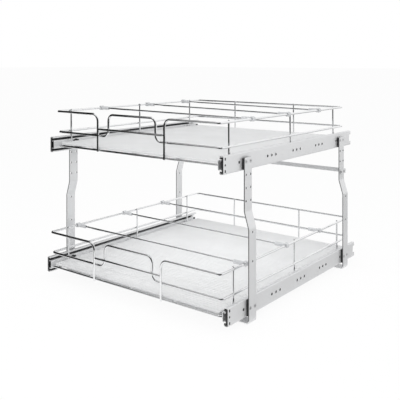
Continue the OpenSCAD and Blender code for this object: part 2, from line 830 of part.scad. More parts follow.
function divider_turn(tier, y) = atan2(y[1] - y[0], 2 * rail_x(tier));
function divider_reach(tier, y) = rail_x(tier) / cos(divider_turn(tier, y));

module divider_frame(tier, y) {
    centred() translate([0, (y[0] + y[1]) / 2, top_z(tier)]) rotate([0, 0, divider_turn(tier, y)])
        children();
}

module divider_rod(tier, y) {
    x = divider_reach(tier, y) - rail_d / 2 - rail_fit - rod_end_gap;
    color("white") divider_frame(tier, y) bar_x(-x, x, 0, 0, rod_d);
}

module divider_clips(tier, y) {
    reach = divider_reach(tier, y);
    bore_start = reach - rail_d / 2 - rail_fit - rod_end_gap;
    color("gainsboro") for (end = [0, 1]) {
        side = 2 * end - 1;
        difference() {
            union() {
                centred() bar_y(
                    y[end] - clip_hook_length / 2,
                    y[end] + clip_hook_length / 2,
                    side * rail_x(tier), top_z(tier), clip_hook_d
                );
                divider_frame(tier, y) on_side(side)
                    bar_x(reach - clip_reach, reach, 0, 0, clip_sleeve_d);
            }
            centred() bar_y(
                y[end] - clip_hook_length, y[end] + clip_hook_length,
                side * rail_x(tier), top_z(tier), rail_d + 2 * rail_fit
            );
            centred() translate([
                side * rail_x(tier) - hook_mouth / 2,
                y[end] - clip_hook_length,
                top_z(tier) - clip_hook_d
            ]) cube([hook_mouth, 2 * clip_hook_length, clip_hook_d]);
            divider_frame(tier, y) on_side(side)
                bar_x(reach - clip_reach - over, bore_start, 0, 0, rod_d + 2 * rod_fit);
        }
    }
}

front_frame_strap();
rear_frame_strap();
rear_cross_bar();
frame_screws();
spacer_pads();
closing_bumpers();
front_bumpers(lower);  // lower_front_bumpers
front_bumpers(upper);  // upper_front_bumpers
outer_rail(lower, left);  // lower_left_outer_rail
outer_rail(lower, right);  // lower_right_outer_rail
outer_rail(upper, left);  // upper_left_outer_rail
outer_rail(upper, right);  // upper_right_outer_rail
middle_rail(lower, left);  // lower_left_middle_rail
middle_rail(lower, right);  // lower_right_middle_rail
middle_rail(upper, left);  // upper_left_middle_rail
middle_rail(upper, right);  // upper_right_middle_rail
inner_rail(lower, left);  // lower_left_inner_rail
inner_rail(lower, right);  // lower_right_inner_rail
inner_rail(upper, left);  // upper_left_inner_rail
inner_rail(upper, right);  // upper_right_inner_rail
outer_cages(lower);  // lower_outer_cages
outer_balls(lower);  // lower_outer_balls
inner_cages(lower);  // lower_inner_cages
inner_balls(lower);  // lower_inner_balls
outer_cages(upper);  // upper_outer_cages
outer_balls(upper);  // upper_outer_balls
inner_cages(upper);  // upper_inner_cages
inner_balls(upper);  // upper_inner_balls
rim_wire(lower);  // lower_rim_wire
mid_rail(lower);  // lower_mid_rail
top_rail(lower);  // lower_top_rail
front_crossbar(lower);  // lower_front_crossbar
basket_posts(lower);  // lower_basket_posts
floor_cross_wires(lower);  // lower_floor_cross_wires
floor_long_wires(lower);  // lower_floor_long_wires
floor_liner(lower);  // lower_floor_liner
slide_tabs(lower);  // lower_slide_tabs
tab_screws(lower);  // lower_tab_screws
rim_wire(upper);  // upper_rim_wire
mid_rail(upper);  // upper_mid_rail
top_rail(upper);  // upper_top_rail
front_crossbar(upper);  // upper_front_crossbar
basket_posts(upper);  // upper_basket_posts
floor_cross_wires(upper);  // upper_floor_cross_wires
floor_long_wires(upper);  // upper_floor_long_wires
floor_liner(upper);  // upper_floor_liner
slide_tabs(upper);  // upper_slide_tabs
tab_screws(upper);  // upper_tab_screws
divider_rod(lower, lower_divider_y[0]);  // lower_front_divider_rod
divider_clips(lower, lower_divider_y[0]);  // lower_front_divider_clips
divider_rod(lower, lower_divider_y[1]);  // lower_middle_divider_rod
divider_clips(lower, lower_divider_y[1]);  // lower_middle_divider_clips
divider_rod(lower, lower_divider_y[2]);  // lower_rear_divider_rod
divider_clips(lower, lower_divider_y[2]);  // lower_rear_divider_clips
divider_rod(upper, upper_divider_y[0]);  // upper_front_divider_rod
divider_clips(upper, upper_divider_y[0]);  // upper_front_divider_clips
divider_rod(upper, upper_divider_y[1]);  // upper_middle_divider_rod
divider_clips(upper, upper_divider_y[1]);  // upper_middle_divider_clips
divider_rod(upper, upper_divider_y[2]);  // upper_rear_divider_rod
divider_clips(upper, upper_divider_y[2]);  // upper_rear_divider_clips
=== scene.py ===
import json
from math import asin, atan2, cos, degrees, floor, pi, radians, sin, tan

import bmesh
import bpy
from mathutils import Matrix, Quaternion, Vector


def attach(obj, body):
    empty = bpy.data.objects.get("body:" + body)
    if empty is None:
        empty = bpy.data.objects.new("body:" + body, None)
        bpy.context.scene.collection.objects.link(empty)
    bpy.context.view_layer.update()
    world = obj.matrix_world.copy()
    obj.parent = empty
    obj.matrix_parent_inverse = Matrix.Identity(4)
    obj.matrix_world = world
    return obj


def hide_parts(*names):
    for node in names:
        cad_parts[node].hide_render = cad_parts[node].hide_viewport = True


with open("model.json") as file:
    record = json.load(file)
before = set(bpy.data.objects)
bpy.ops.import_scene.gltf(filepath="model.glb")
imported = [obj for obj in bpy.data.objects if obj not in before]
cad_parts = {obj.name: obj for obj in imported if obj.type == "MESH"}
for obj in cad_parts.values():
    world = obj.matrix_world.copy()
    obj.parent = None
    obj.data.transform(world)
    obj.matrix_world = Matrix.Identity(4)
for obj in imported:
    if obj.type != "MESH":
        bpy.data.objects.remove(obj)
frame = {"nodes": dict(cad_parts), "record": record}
scene = bpy.context.scene
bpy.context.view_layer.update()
record = frame["record"]
bodyOfNode = {node: body for body, nodes in record["behaviour"]["bodies"].items() for node in nodes}
print("frame loaded:", len(frame["nodes"]), "solid nodes")

# Sizes below are in mm. x runs right, z up, and y back from the front ends of the slides.
mm = 0.001
slideFront = -272.25  # y of the slides' front ends in the frame
slide = {"height": 35.0, "depth": 12.7, "length": 550.0, "sheet": 1.2, "middleSheet": 1.1,
         "middleStart": 2.0, "memberEnd": 531.0}
tabs = {"places": (64.2, 262.6, 485.8), "thickness": 1.5, "rise": 5.0, "bore": 3.8}
tiers = {
    "lower": {"face": 257.0, "foot": 13.0, "front": -3.0, "rear": 547.0, "strapFace": 263.5,
              "rearPost": 104.0},
    "upper": {"face": 247.0, "foot": 292.4, "front": 7.5, "rear": 536.5, "strapFace": 253.5,
              "rearPost": 94.0},
}
for tier in tiers.values():
    tier["middle"] = tier["foot"] + slide["height"] / 2
    tier["inside"] = tier["face"] - slide["depth"]
    tier["tabHeight"] = tier["middle"] + tabs["rise"]
sides = (-1, 1)
strapDepths = (74.0, 486.0)
pairSteps = (-8.0, 8.0)  # from the middle of a strap to the screws and holes of a pair
acrossAll = 600.0  # length of a cutter that goes through both sides


def inFrame(x, y, z):
    return Vector((x, y + slideFront, z)) * mm


def placed(name, data):
    thing = bpy.data.objects.new(name, data)
    scene.collection.objects.link(thing)
    return thing


def evaluated(holder):  # the mesh as the holder's modifiers leave it, the holder isn't kept
    made = bpy.data.meshes.new_from_object(holder.evaluated_get(bpy.context.evaluated_depsgraph_get()))
    bpy.data.objects.remove(holder)
    return made


# Node trees: a class for a socket and one for a tree

class Signal:  # a socket that the arithmetic signs work on
    def __init__(self, sheet, socket):
        self.sheet = sheet
        self.socket = socket

    def maths(self, operation, *others):
        return self.sheet.reckon(operation, self, *others)

    def also(self, output):  # another output of the same node
        return Signal(self.sheet, self.socket.node.outputs[output])

    def __add__(self, other):
        return self.maths("ADD", other)

    def __sub__(self, other):
        return self.maths("SUBTRACT", other)

    def __rsub__(self, other):
        return self.sheet.reckon("SUBTRACT", other, self)

    def __mul__(self, other):
        return self.maths("MULTIPLY", other)

    def __truediv__(self, other):
        return self.maths("DIVIDE", other)

    def __pow__(self, other):
        return self.maths("POWER", other)

    __radd__ = __add__
    __rmul__ = __mul__


class NodeSheet:
    family = "ShaderNode"  # put before a kind of node that doesn't name its family

    def __init__(self, tree):
        self.tree = tree

    def add(self, kind, values=None, output=0, **settings):
        node = self.tree.nodes.new(kind if "Node" in kind else self.family + kind)
        for name, value in settings.items():
            setattr(node, name, value)
        for name, value in (values or {}).items():
            for part in value if isinstance(value, list) else [value]:
                if isinstance(part, Signal):
                    self.tree.links.new(part.socket, node.inputs[name])
                else:
                    node.inputs[name].default_value = part
        return Signal(self, node.outputs[output] if len(node.outputs) else None)

    def reckon(self, operation, *values):
        return self.add("ShaderNodeMath", dict(enumerate(values)), operation=operation)


class ShapeRule(NodeSheet):  # a Geometry Nodes tree with named inputs
    family = "GeometryNode"

    def __init__(self, name, inputs):
        super().__init__(bpy.data.node_groups.new(name, "GeometryNodeTree"))
        face = self.tree.interface
        face.new_socket("Geometry", in_out="OUTPUT", socket_type="NodeSocketGeometry")
        for title, kind in {"Geometry": "Geometry", "Material": "Material", **inputs}.items():
            face.new_socket(title, in_out="INPUT", socket_type="NodeSocket" + kind)
        self.entry = self.tree.nodes.new("NodeGroupInput")

    def given(self, title):
        return Signal(self, self.entry.outputs[title])

    def end(self, geometry):
        whole = self.add("RealizeInstances", {"Geometry": geometry})
        dressed = self.add("SetMaterial", {"Geometry": whole, "Material": self.given("Material")})
        self.add("NodeGroupOutput", {"Geometry": dressed})

    def run(self, mesh, values):
        holder = placed("holder", mesh)
        modifier = holder.modifiers.new("shape", "NODES")
        modifier.node_group = self.tree
        for item in self.tree.interface.items_tree:
            if item.item_type == "SOCKET" and item.in_out == "INPUT" and item.name in values:
                modifier[item.identifier] = values[item.name]
        return evaluated(holder)


def wireAlongPath():
    rule = ShapeRule("wireAlongPath", {"Diameter": "Float", "Sides": "Int"})
    path = rule.add("MeshToCurve", {"Mesh": rule.given("Geometry")})
    girth = rule.add("InputNamedAttribute", {"Name": "girth"}, data_type="FLOAT")
    ring = rule.add("CurvePrimitiveCircle", {
        "Resolution": rule.given("Sides"), "Radius": rule.given("Diameter") * 0.5}, mode="RADIUS")
    rule.end(rule.add("CurveToMesh", {
        "Curve": path, "Profile Curve": ring, "Scale": girth, "Fill Caps": True}))
    return rule


def copiesOnPoints():
    rule = ShapeRule("copiesOnPoints", {"Template": "Object", "Spread": "Float", "Seed": "Int"})
    template = rule.add("ObjectInfo", {"Object": rule.given("Template")}, "Geometry",
                        transform_space="ORIGINAL")
    turn = rule.add("InputNamedAttribute", {"Name": "turn"}, data_type="FLOAT_VECTOR")
    size = rule.add("InputNamedAttribute", {"Name": "size"}, data_type="FLOAT_VECTOR")
    spread = rule.given("Spread")
    chance = rule.add("FunctionNodeRandomValue", {
        2: 1 - spread, 3: 1 + spread, "Seed": rule.given("Seed")}, 1, data_type="FLOAT")
    varied = rule.add("ShaderNodeVectorMath", {0: size, "Scale": chance}, operation="SCALE")
    rule.end(rule.add("InstanceOnPoints", {
        "Points": rule.given("Geometry"), "Instance": template, "Scale": varied,
        "Rotation": rule.add("FunctionNodeEulerToRotation", {"Euler": turn})}))
    return rule


def punchedThrough():
    rule = ShapeRule("punchedThrough", {"Cutters": "Object"})
    cutters = rule.add("ObjectInfo", {"Object": rule.given("Cutters")}, "Geometry",
                       transform_space="ORIGINAL")
    rule.end(rule.add("MeshBoolean", {"Mesh 1": rule.given("Geometry"), "Mesh 2": cutters},
                      operation="DIFFERENCE", solver="EXACT"))
    return rule


def ribbedSheet():
    rule = ShapeRule("ribbedSheet", {
        "Width": "Float", "Length": "Float", "Thickness": "Float", "Rows": "Int", "Rib height": "Float",
        "Rib width": "Float", "Rib pitch": "Float", "First rib": "Float", "Place": "Vector"})
    grid = rule.add("MeshGrid", {
        "Size X": rule.given("Width"), "Size Y": rule.given("Length"),
        "Vertices X": 2, "Vertices Y": rule.given("Rows")})
    y = rule.add("ShaderNodeSeparateXYZ", {"Vector": rule.add("InputPosition")}, "Y")
    turns = (y - rule.given("First rib")) / rule.given("Rib pitch")
    away = (turns - turns.maths("ROUND")).maths("ABSOLUTE")
    share = away * rule.given("Rib pitch") / (rule.given("Rib width") * 0.5)
    rise = (1 - share * share).maths("MAXIMUM", 0.0) ** 0.5
    thick = rule.add("ExtrudeMesh", {
        "Mesh": grid, "Offset Scale": rule.given("Thickness"), "Individual": False}, mode="FACES")
    ribs = rule.add("SetPosition", {
        "Geometry": thick, "Selection": thick.also("Top"),
        "Offset": rule.add("ShaderNodeCombineXYZ", {"Z": rise * rule.given("Rib height")})})
    both = rule.add("JoinGeometry", {"Geometry": [ribs, rule.add("FlipFaces", {"Mesh": grid})]})
    closed = rule.add("MergeByDistance", {"Geometry": both, "Distance": 0.00001})
    rule.end(rule.add("Transform", {"Geometry": closed, "Translation": rule.given("Place")}))
    return rule


mirrorX = Matrix.Scale(-1, 4, (1, 0, 0))
wireRule = wireAlongPath()
copyRule = copiesOnPoints()
punchRule = punchedThrough()
linerRule = ribbedSheet()


# Mesh helpers

def meshOf(points, edges=(), faces=()):
    mesh = bpy.data.meshes.new("shape")
    mesh.from_pydata([tuple(point) for point in points], edges, faces)
    return mesh


def tube(points, count):  # rows of count points each, closed by a face at both ends
    rows = len(points) // count
    faces = []
    for row in range(0, (rows - 1) * count, count):
        faces += [(row + i, row + (i + 1) % count, row + count + (i + 1) % count, row + count + i)
                  for i in range(count)]
    faces += [tuple(range(count))[::-1], tuple(range((rows - 1) * count, rows * count))]
    mesh = meshOf(points, faces=faces)
    shell = bmesh.new()
    shell.from_mesh(mesh)
    bmesh.ops.recalc_face_normals(shell, faces=shell.faces)
    shell.to_mesh(mesh)
    shell.free()
    return mesh


def spot(x, y, z, turn=(0, 0, 0), size=(1, 1, 1)):  # a place for one of the copies
    return (inFrame(x, y, z), turn, size)


def copies(template, places, spread=0.0, seed=1):
    points = meshOf([place[0] for place in places])
    for name, column in (("turn", 1), ("size", 2)):
        values = points.attributes.new(name, "FLOAT_VECTOR", "POINT").data
        for value, place in zip(values, places):
            value.vector = place[column]
    carrier = placed("carrier", template)
    made = copyRule.run(points, {"Template": carrier, "Spread": spread, "Seed": seed})
    bpy.data.objects.remove(carrier)
    return made


def punched(mesh, cutters):
    carrier = placed("carrier", cutters)
    made = punchRule.run(mesh, {"Cutters": carrier})
    bpy.data.objects.remove(carrier)
    return made


def joined(meshes):
    shell = bmesh.new()
    for mesh in meshes:
        shell.from_mesh(mesh)
    whole = bpy.data.meshes.new("joined")
    shell.to_mesh(whole)
    shell.free()
    return whole


def moved(mesh, matrix):
    copy = mesh.copy()
    copy.transform(matrix)
    if matrix.determinant() < 0:
        copy.flip_normals()
    return copy


def bothSides(right):
    return joined([right, moved(right, mirrorX)])


def worked(mesh, modifiers):  # puts the mesh through ordinary modifiers
    holder = placed("holder", mesh)
    for kind, settings in modifiers:
        modifier = holder.modifiers.new(kind.lower(), kind)
        for name, value in settings.items():
            setattr(modifier, name, value)
    return evaluated(holder)


def eased(mesh, width, angle=50.0, segments=2):  # rounds every edge sharper than the angle
    return worked(mesh, [("BEVEL", {"width": width * mm, "segments": segments, "limit_method": "ANGLE",
                                    "angle_limit": radians(angle), "miter_outer": "MITER_ARC"})])


def lathe(profile, count):  # profile of (radius, height) in mm, closed on the axis
    turns = [2 * pi * index / count for index in range(count)]
    return tube([Vector((radius * cos(angle), radius * sin(angle), height)) * mm
                 for radius, height in profile for angle in turns], count)


def extruded(outline, depth, place):  # outline of (a, b), place(a, b, t) gives the frame
    return tube([place(a, b, t) for t in (0.0, depth) for a, b in outline], len(outline))


def bentPath(corners, closed=False, steps=9):  # corners of (point, bend radius)
    path = []
    last = len(corners) - 1
    for index, (corner, radius) in enumerate(corners):
        if not radius or (not closed and index in (0, last)):
            path.append(corner.copy())
            continue
        before = (corners[index - 1][0] - corner).normalized()
        after = (corners[(index + 1) % len(corners)][0] - corner).normalized()
        turning = pi - before.angle(after)
        middle = corner + (before + after).normalized() * (radius / cos(turning / 2))
        start = corner + before * (radius * tan(turning / 2)) - middle
        axis = start.cross(corner + after * (radius * tan(turning / 2)) - middle).normalized()
        path += [middle + Quaternion(axis, turning * step / steps) @ start for step in range(steps + 1)]
    return path


def wires(runs, diameter):  # runs of (path, closed) in mm
    roundedEnd = ((0.0, 0.72), (0.1, 0.89), (0.3, 0.98), (0.55, 1.0))  # (distance, girth) in radii
    points, girths, edges = [], [], []
    for path, closed in runs:
        chain = [(point, 1.0) for point in path]
        if not closed:
            head = (path[1] - path[0]).normalized() * diameter / 2
            tail = (path[-2] - path[-1]).normalized() * diameter / 2
            chain = ([(path[0] + head * along, girth) for along, girth in roundedEnd] + chain[1:-1]
                     + [(path[-1] + tail * along, girth) for along, girth in reversed(roundedEnd)])
        first = len(points)
        points += [inFrame(*point) for point, girth in chain]
        girths += [girth for point, girth in chain]
        edges += [(first + i, first + i + 1) for i in range(len(chain) - 1)]
        if closed:
            edges.append((len(points) - 1, first))
    skeleton = meshOf(points, edges)
    skeleton.attributes.new("girth", "FLOAT", "POINT").data.foreach_set("value", girths)
    return wireRule.run(skeleton, {"Diameter": diameter * mm, "Sides": 16})


def rounded(width, height, corner, steps=4):  # outline of a rounded rectangle about the origin
    ring = []
    for a, b, start in ((1, 1, 0), (-1, 1, 90), (-1, -1, 180), (1, -1, 270)):
        for step in range(steps + 1):
            angle = radians(start + 90 * step / steps)
            ring.append((a * (width / 2 - corner) + corner * cos(angle),
                         b * (height / 2 - corner) + corner * sin(angle)))
    return ring


def outwards(path, index):  # unit vector square to a flat path at one of its points
    ways = [(path[i + 1] - path[i]).normalized() for i in (index - 1, index) if 0 <= i < len(path) - 1]
    along = sum(ways, Vector((0, 0, 0))).normalized()
    return Vector((along.y, -along.x, 0))


def bentStrip(half, steps, ring, place):  # half has corners of (x, y or z, bend) from the middle outwards
    corners = [(Vector((side * x, other, 0)), bend) for side in sides for x, other, bend in half[::side]]
    path = bentPath(corners, steps=steps)
    return tube([place(point + outwards(path, index) * across, wide)
                 for index, point in enumerate(path) for across, wide in ring], len(ring))


def screwSeats(places):  # countersunk holes
    seat = {"bore": 2.25, "depth": 6.0, "sink": 1.65, "head": 3.9, "over": 1.0}
    return copies(lathe([(seat["bore"], -seat["depth"]), (seat["bore"], -seat["sink"]),
                         (seat["head"], 0), (seat["head"], seat["over"])], 28), places)


def fitPiece(name, mesh, finish, node=None, body=None, angle=32.0, level=False):
    mesh.shade_smooth()
    mesh.set_sharp_from_angle(angle=radians(angle))
    if level:  # normals follow the larger face, so sheet metal stays flat up to its bends and holes
        mesh = worked(mesh, [("WEIGHTED_NORMAL", {"keep_sharp": True})])
    mesh.materials.clear()
    mesh.materials.append(finishes[finish])
    piece = placed(name, mesh)
    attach(piece, body or bodyOfNode[node])
    if node:
        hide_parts(node)


# Finishes

class Finish(NodeSheet):  # a material whose shader is fed by noise in object coordinates
    def __init__(self, name, constants):
        material = bpy.data.materials.new(name)
        material.use_nodes = True
        super().__init__(material.node_tree)
        self.material = material
        self.shader = next(node for node in self.tree.nodes if node.type == "BSDF_PRINCIPLED")
        for title, value in constants.items():
            self.shader.inputs[title].default_value = value
        self.place = self.add("TexCoord", {}, "Object")

    def cloud(self, size, stretch=(1, 1, 1), detail=3.0):  # noise, size in mm
        stretched = self.add("VectorMath", {0: self.place, 1: stretch}, operation="MULTIPLY")
        return self.add("TexNoise", {"Vector": stretched, "Scale": 1000.0 / size, "Detail": detail})

    def between(self, factor, first, second):
        shades = [shade if isinstance(shade, Signal) else (*shade, 1) for shade in (first, second)]
        return self.add("Mix", {0: factor, 6: shades[0], 7: shades[1]}, 2, data_type="RGBA")

    def band(self, x, z, lean=0.0):  # 1 where |x| + lean * z and z lie in their ranges of mm
        across = self.add("SeparateXYZ", {0: self.place}, "X")
        up = across.also("Z")
        value = across.maths("ABSOLUTE") + up * lean
        return (value.maths("GREATER_THAN", x[0] * mm) * value.maths("LESS_THAN", x[1] * mm)
                * up.maths("GREATER_THAN", z[0] * mm) * up.maths("LESS_THAN", z[1] * mm))

    def feed(self, title, signal):
        self.tree.links.new(signal.socket, self.shader.inputs[title])

    def relief(self, height, depth, strength=1.0):  # depth in mm
        self.feed("Normal", self.add("Bump", {
            "Height": height, "Distance": depth * mm, "Strength": strength}))


def mixedFinish(name, look):
    finish = Finish(name, look["shader"])
    shared = finish.cloud(**look["noise"])
    finish.feed("Base Color", finish.between(shared, *look["colours"]))
    for socket, (least, added, *own) in look["fed"].items():
        finish.feed(socket, least + (finish.cloud(**own[0]) if own else shared) * added)
    if "relief" in look:
        depth, strength, *own = look["relief"]
        finish.relief(finish.cloud(**own[0]) if own else shared, depth, strength)
    return finish.material


def zincFinish(name, look, shadedZones=()):  # plated sheet with faint lines from the rolls, and painted shade in the given zones of hole walls and cut edges
    finish = Finish(name, look["shader"])
    patches, lines = finish.cloud(**look["patches"]), finish.cloud(**look["lines"])
    share, (least, fromPatches, fromLines) = look["share"], look["rough"]
    plated = finish.between(patches * share + lines * (1 - share), *look["colours"])
    # mask of the given zones, whose colour becomes the look's "cut" colour: painted shade on hole walls and
    # cut edges
    cut = sum(finish.band(*zone) for zone in shadedZones) if shadedZones else 0.0
    finish.feed("Base Color", finish.between(cut, plated, look["cut"]))
    finish.feed("Roughness", least + patches * fromPatches + lines * fromLines)
    finish.relief(lines, look["depth"], strength=0.4)
    return finish.material


# A look has two colours with noise between them. Sockets are fed (least, added) and relief is (depth,
# strength), each by that noise or by one of its own. Sizes of noise and depths are in mm.
looks = {
    "darkSteel": {  # near-black middle members of the slides
        "shader": {"Metallic": 0.7}, "noise": {"size": 8, "stretch": (1, 0.3, 1), "detail": 4},
        "colours": ((0.035, 0.035, 0.038), (0.075, 0.075, 0.08)),
        "fed": {"Roughness": (0.38, 0.2)}, "relief": (0.02, 0.4, {"size": 1.1})},
    "chromeWire": {  # bright plated wire, slightly uneven
        "shader": {"Metallic": 1.0}, "noise": {"size": 18, "detail": 4},
        "colours": ((0.84, 0.845, 0.855), (0.90, 0.905, 0.91)),
        "fed": {"Roughness": (0.05, 0.05)}, "relief": (0.02, 0.5, {"size": 3.0, "detail": 2})},
    "weldChrome": {  # plated weld spots, rougher than the wire
        "shader": {"Metallic": 1.0}, "noise": {"size": 1.2},
        "colours": ((0.66, 0.665, 0.675), (0.82, 0.825, 0.83)),
        "fed": {"Roughness": (0.16, 0.16)}, "relief": (0.12, 0.6)},
    "screwSteel": {
        "shader": {"Metallic": 1.0}, "noise": {"size": 1.6},
        "colours": ((0.50, 0.505, 0.515), (0.66, 0.665, 0.67)),
        "fed": {"Roughness": (0.24, 0.12)}, "relief": (0.01, 0.4)},
    "ballSteel": {
        "shader": {"Metallic": 1.0}, "noise": {"size": 1.0},
        "colours": ((0.60, 0.60, 0.61), (0.78, 0.785, 0.79)), "fed": {"Roughness": (0.07, 0.08)}},
    "cageSteel": {
        "shader": {"Metallic": 1.0}, "noise": {"size": 5, "stretch": (1, 0.3, 1)},
        "colours": ((0.46, 0.465, 0.475), (0.60, 0.605, 0.61)),
        "fed": {"Roughness": (0.30, 0.15)}, "relief": (0.01, 0.4, {"size": 0.8})},
    "blackPlastic": {
        "shader": {"IOR": 1.49}, "noise": {"size": 7},
        "colours": ((0.010, 0.010, 0.011), (0.020, 0.020, 0.021)),
        "fed": {"Roughness": (0.42, 0.2, {"size": 0.9, "detail": 4})},
        "relief": (0.04, 0.5, {"size": 0.9, "detail": 4})},
    "linerPlastic": {  # milky translucent sheet
        "shader": {"IOR": 1.46}, "noise": {"size": 60},
        "colours": ((0.84, 0.845, 0.85), (0.88, 0.885, 0.89)),
        "fed": {"Roughness": (0.44, 0.14, {"size": 2.2, "detail": 4}), "Alpha": (0.66, 0.08)},
        "relief": (0.03, 0.4, {"size": 2.2, "detail": 4})},
    "clipPlastic": {  # smoky translucent clips of the dividers
        "shader": {"IOR": 1.49}, "noise": {"size": 6},
        "colours": ((0.60, 0.61, 0.63), (0.74, 0.75, 0.76)),
        "fed": {"Roughness": (0.20, 0.1, {"size": 1.4}), "Alpha": (0.70, 0.12)},
        "relief": (0.03, 0.4, {"size": 2.5})},
}
# its "cut" colour is the dark grey painted shade on the straps' cut edges and hole walls, where zones are
# given
plateLook = {"shader": {"Metallic": 0.7}, "colours": ((0.74, 0.745, 0.755), (0.80, 0.805, 0.81)),
             "cut": (0.17, 0.17, 0.175), "patches": {"size": 26, "detail": 5},
             "lines": {"size": 0.35, "stretch": (0.02, 1, 0.02), "detail": 2}, "share": 0.7,
             "rough": (0.36, 0.08, 0.06), "depth": 0.01}
# its "cut" colour is the near-black painted shade on the walls of the slides' holes
slideLook = {"shader": {"Metallic": 0.6}, "colours": ((0.73, 0.735, 0.745), (0.79, 0.795, 0.80)),
             "cut": (0.04, 0.04, 0.042), "patches": {"size": 34, "stretch": (1, 0.4, 1), "detail": 4},
             "lines": {"size": 0.4, "stretch": (1, 0.01, 1), "detail": 2}, "share": 0.6,
             "rough": (0.34, 0.07, 0.07), "depth": 0.008}
# Zones of painted shade as Finish.band takes them: the straps' cut edges and hole walls below, at and above
# the step, and the walls of the slides' holes
strapShadeZones = (((261.2, 263.2), (6, 181)), ((316.6, 318.4), (181, 214), 0.3057), ((251.2, 253.2), (214, 320)))
# the thickness of each outer member's web, so its hole walls and cut ends get painted shade
slideHoleShadeZones = [((tier["face"] - 1.1, tier["face"] - 0.1), (tier["foot"] + 2, tier["foot"] + 33))
              for tier in tiers.values()]
finishes = {name: mixedFinish(name, look) for name, look in looks.items()}
finishes["zincPlate"] = zincFinish("zincPlate", plateLook)
finishes["strapZinc"] = zincFinish("strapZinc", plateLook, strapShadeZones)
finishes["slideZinc"] = zincFinish("slideZinc", slideLook, slideHoleShadeZones)
print("finishes made:", ", ".join(finishes))


# Frame: two bent straps, the rear bar, spacers and screws

def alongX(side):
    return (0.0, side * pi / 2, 0.0)


def unitCutter(count=28):  # a cylinder of 1 mm radius and 1 mm length about its middle
    return lathe([(1.0, -0.5), (1.0, 0.5)], count)


def boreAcross(x, y, z, bore, length):
    return spot(x, y, z, alongX(1), (bore / 2, bore / 2, length))


def tabBores(tier, x, length, bore=tabs["bore"], places=tabs["places"]):
    return copies(unitCutter(20), [boreAcross(x, y, tier["tabHeight"], bore, length) for y in places])


def strapMesh(depth):
    strap = {"width": 25.4, "thickness": 2.5, "edge": 0.7, "floorBend": 4.25, "stepBend": 15.0,
             "top": 317.9, "stepStart": 181.24, "stepEnd": 213.95, "floorHoles": 200.0,
             "floorCutter": (2.75, 2.75, 9), "sideHoles": (118.5, 174.5), "sideBore": 4.0, "rowBore": 4.5,
             "plainRows": (284.5, 259.1, 233.7)}
    middle = strap["thickness"] / 2
    low, high = (tier["strapFace"] - middle for tier in tiers.values())
    half = [(low, middle, strap["floorBend"]), (low, strap["stepStart"], strap["stepBend"]),
            (high, strap["stepEnd"], strap["stepBend"]), (high, strap["top"], 0)]
    blank = bentStrip(half, 6, rounded(strap["thickness"], strap["width"], strap["edge"], 3),
                      lambda point, wide: inFrame(point.x, depth + wide, point.y))
    plain = [boreAcross(0, depth, z, strap["sideBore"], acrossAll) for z in strap["sideHoles"]]
    plain += [boreAcross(0, depth + step, z, strap["rowBore"], acrossAll)
              for z in strap["plainRows"] for step in pairSteps]
    plain += [spot(side * strap["floorHoles"], depth, 0, size=strap["floorCutter"]) for side in sides]
    seats = [spot(side * tier["strapFace"], depth + step, tier["middle"], alongX(side))
             for tier in tiers.values() for side in sides for step in pairSteps]
    return eased(punched(blank, joined([copies(unitCutter(), plain), screwSeats(seats)])), 0.3)


for name, depth in zip(("front", "rear"), strapDepths):
    fitPiece(f"{name}_upright_strap", strapMesh(depth), "strapZinc", f"{name}_frame_strap", level=True)


bar = {"x": 254.75, "start": 475.8, "back": 505.95, "bend": 3.75, "z": 233.7, "height": 10.0,
       "thickness": 2.5, "edge": 0.6}
barSeats = [spot(side * (bar["x"] + bar["thickness"] / 2), strapDepths[1] + step, bar["z"], alongX(side))
            for side in sides for step in pairSteps]


def rearBarMesh():
    blank = bentStrip([(bar["x"], bar["back"], bar["bend"]), (bar["x"], bar["start"], 0)], 8,
                      rounded(bar["thickness"], bar["height"], bar["edge"], 3),
                      lambda point, wide: inFrame(point.x, point.y, bar["z"] + wide))
    return eased(punched(blank, screwSeats(barSeats)), 0.25)


fitPiece("rear_bar", rearBarMesh(), "zincPlate", "rear_cross_bar", level=True)


def countersunkScrew(grip):  # head flush with z = 0, hexagon socket
    screw = {"shank": 2.0, "sink": 1.8, "chamfer": 0.4, "rim": ((3.65, -0.15), (3.55, 0)),
             "socket": ((0.1, -1.7), (1.44, -1.2), (1.44, 1))}
    shank, chamfer = screw["shank"], screw["chamfer"]
    body = lathe([(shank - chamfer, -grip), (shank, -grip + chamfer), (shank, -screw["sink"]),
                  *screw["rim"]], 24)
    return punched(body, lathe(screw["socket"], 6))


slideSeats = [spot(side * tier["strapFace"], depth + step, tier["middle"], alongX(side))
              for side in sides for step in pairSteps for tier in tiers.values() for depth in strapDepths]
screws = [copies(countersunkScrew(grip=7.7), slideSeats), copies(countersunkScrew(grip=5.0), barSeats)]
fitPiece("socket_screws", joined(screws), "screwSteel", "frame_screws")


def padsMesh():
    pad = {"width": 25.4, "thickness": 4.0, "height": {"lower": 31.5, "upper": 22.0}, "inset": 1.75,
           "corner": 1.4, "bore": 4.5}
    pads, bores = [], []
    for name, tier in tiers.items():
        tall = pad["height"][name]
        middle = tier["foot"] + pad["inset"] + tall / 2
        outline = rounded(pad["width"], tall, pad["corner"])
        for side in sides:
            for depth in strapDepths:
                pads.append(extruded(outline, pad["thickness"], lambda a, b, t: inFrame(
                    side * (tier["face"] + t), depth + a, middle + b)))
        bores += [boreAcross(0, depth + step, tier["middle"], pad["bore"], acrossAll)
                  for depth in strapDepths for step in pairSteps]
    return eased(punched(joined(pads), copies(unitCutter(), bores)), 0.25)


fitPiece("black_spacers", padsMesh(), "blackPlastic", "spacer_pads")
print("frame built")


# Slides: three rolled members on each side of each tier

